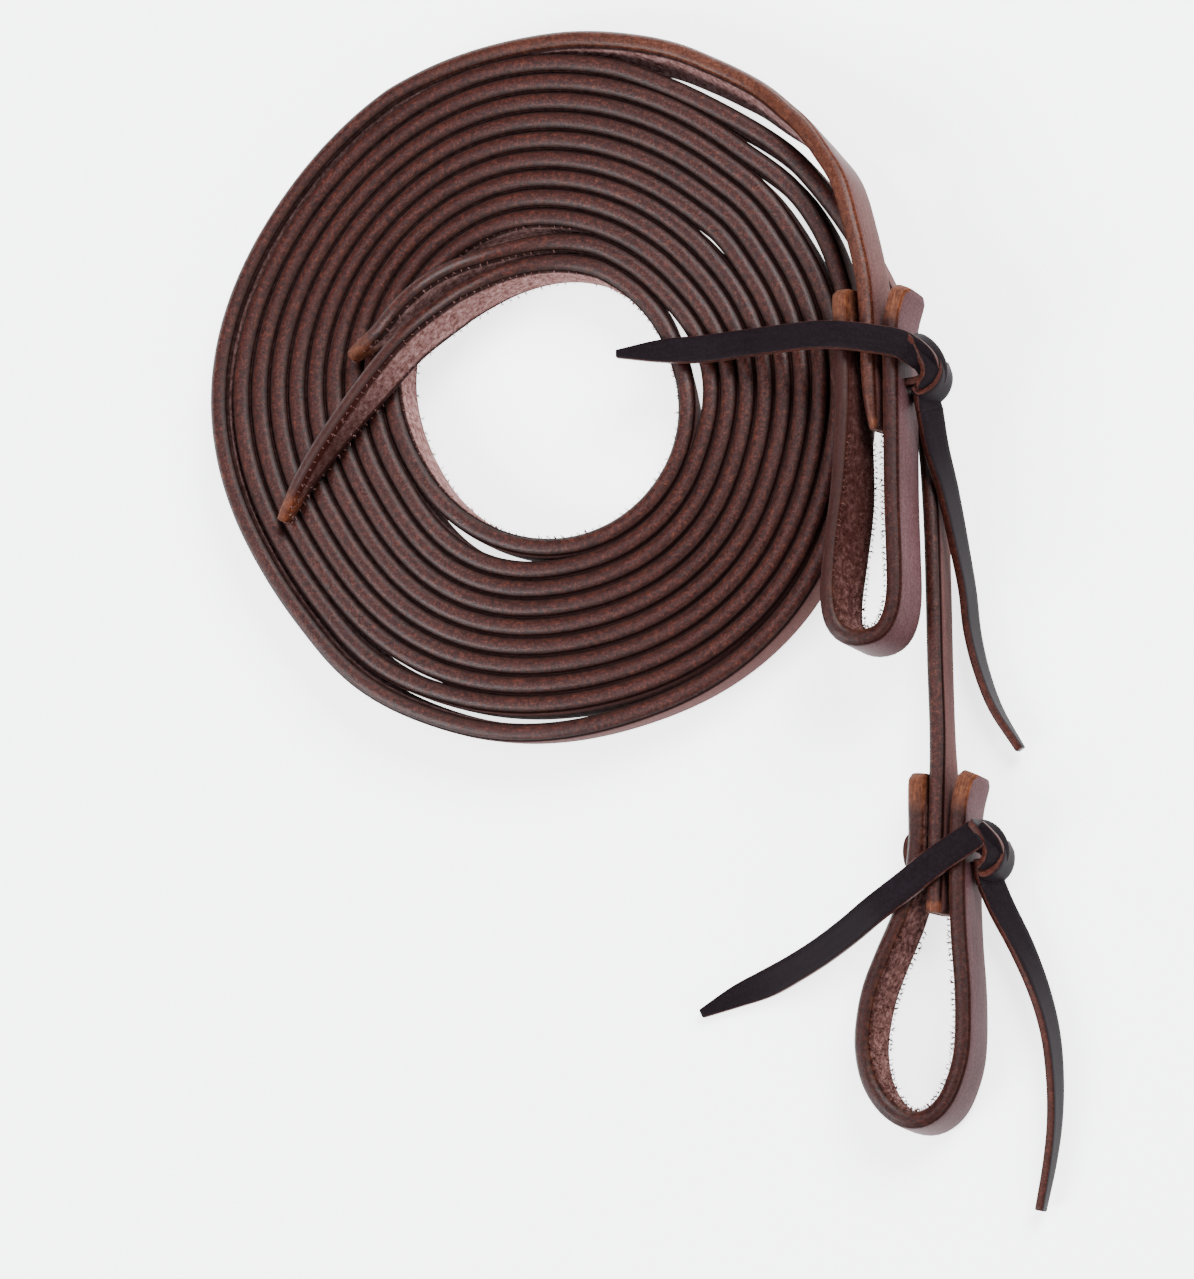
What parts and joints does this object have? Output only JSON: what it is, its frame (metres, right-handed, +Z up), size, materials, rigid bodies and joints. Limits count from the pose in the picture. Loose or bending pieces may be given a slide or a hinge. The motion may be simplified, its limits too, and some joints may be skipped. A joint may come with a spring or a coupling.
{
  "type": "leather reins",
  "caption": "Split leather reins coiled flat on edge, bit ends left out, each with a folded bit loop tied on by a knotted lace.",
  "frame": {"origin": "centre of the footprint on the surface the reins lie on", "axes": "+Z up, across the height of the coil; +Y from the lower bit end towards the top of the coil; +X from the coil towards the bit ends"},
  "size_m": [0.2373, 0.329, 0.0355],
  "materials": {
    "rein_leather": "oiled harness leather, burnished edges, rough flesh side",
    "bit_loop_leather": "oiled harness leather, raw cut ears",
    "lace_leather": "dark aubergine tie lace with a satin face and rust red cut edges"
  },
  "bodies": {
    "coil": {"rein_a_coil": "rein_leather", "rein_b_coil": "rein_leather"},
    "upper_bit_end": {"rein_a_bit_end": "rein_leather", "bit_loop_upper": "bit_loop_leather", "tie_lace_upper": "lace_leather"},
    "lower_bit_end": {"rein_b_bit_end": "rein_leather", "bit_loop_lower": "bit_loop_leather", "tie_lace_lower": "lace_leather"},
    "upper_left_tail": {"lace_tail_upper_left": "lace_leather"},
    "upper_right_tail": {"lace_tail_upper_right": "lace_leather"},
    "lower_left_tail": {"lace_tail_lower_left": "lace_leather"},
    "lower_right_tail": {"lace_tail_lower_right": "lace_leather"}
  },
  "joints": [
    {"name": "upper_bit_end_swing", "type": "hinge", "parent": "coil", "child": "upper_bit_end", "pos_m": [0.03705, 0.1454, 0.0122], "axis": [0, 0, 1], "range_deg": [0, 10]},
    {"name": "lower_bit_end_swing", "type": "hinge", "parent": "coil", "child": "lower_bit_end", "pos_m": [0.08105, 0.0716, 0.008], "axis": [0, 0, 1], "range_deg": [-12, 0]},
    {"name": "upper_left_tail_lift", "type": "hinge", "parent": "upper_bit_end", "child": "upper_left_tail", "pos_m": [0.08705, 0.0622, 0.034], "axis": [0, 1, 0], "range_deg": [0, 60]},
    {"name": "upper_right_tail_swing", "type": "hinge", "parent": "upper_bit_end", "child": "upper_right_tail", "pos_m": [0.09205, 0.0456, 0.0226], "axis": [0, 0, 1], "range_deg": [0, 30]},
    {"name": "lower_left_tail_lift", "type": "hinge", "parent": "lower_bit_end", "child": "lower_left_tail", "pos_m": [0.10045, -0.066, 0.0176], "axis": [-0.537, 0.8436, 0], "range_deg": [0, 60]},
    {"name": "lower_right_tail_swing", "type": "hinge", "parent": "lower_bit_end", "child": "lower_right_tail", "pos_m": [0.10305, -0.0796, 0.008], "axis": [0, 0, 1], "range_deg": [-10, 25]}
  ]
}
